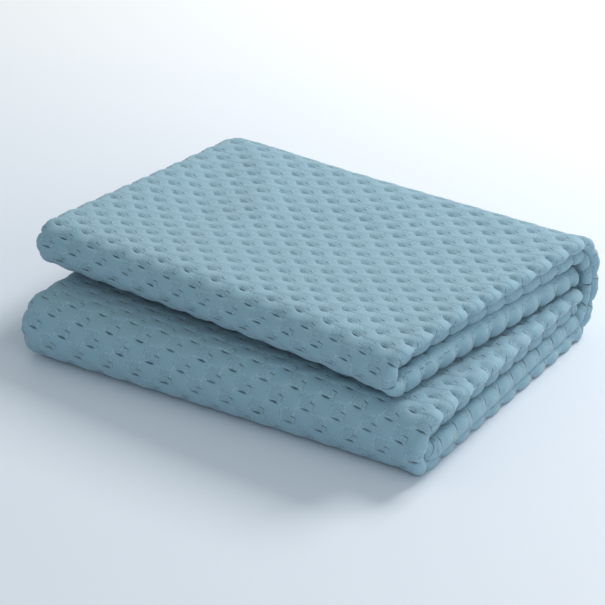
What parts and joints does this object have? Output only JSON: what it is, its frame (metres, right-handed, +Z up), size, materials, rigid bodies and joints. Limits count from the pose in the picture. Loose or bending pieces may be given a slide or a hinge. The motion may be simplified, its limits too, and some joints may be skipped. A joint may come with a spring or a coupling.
{
  "type": "folded waffle weave cotton blanket",
  "caption": "Waffle weave cotton blanket folded into a soft stack, its lower bundle fanned out a little from under the upper one.",
  "frame": {"origin": "bottom centre of the folded blanket's bounding box, on the surface that it rests on", "axes": "+X along the stack's long side, from the wrapped end to the end with the paired folds; -Y the front folds; +Z up through the layers"},
  "size_m": [0.5598, 0.4608, 0.1354],
  "materials": {
    "waffle_cotton": "light dusty teal-blue cotton waffle weave, soft and matt with a slight sheen on its raised floats"
  },
  "bodies": {
    "root": {"blanket": "waffle_cotton"}
  },
  "joints": []
}
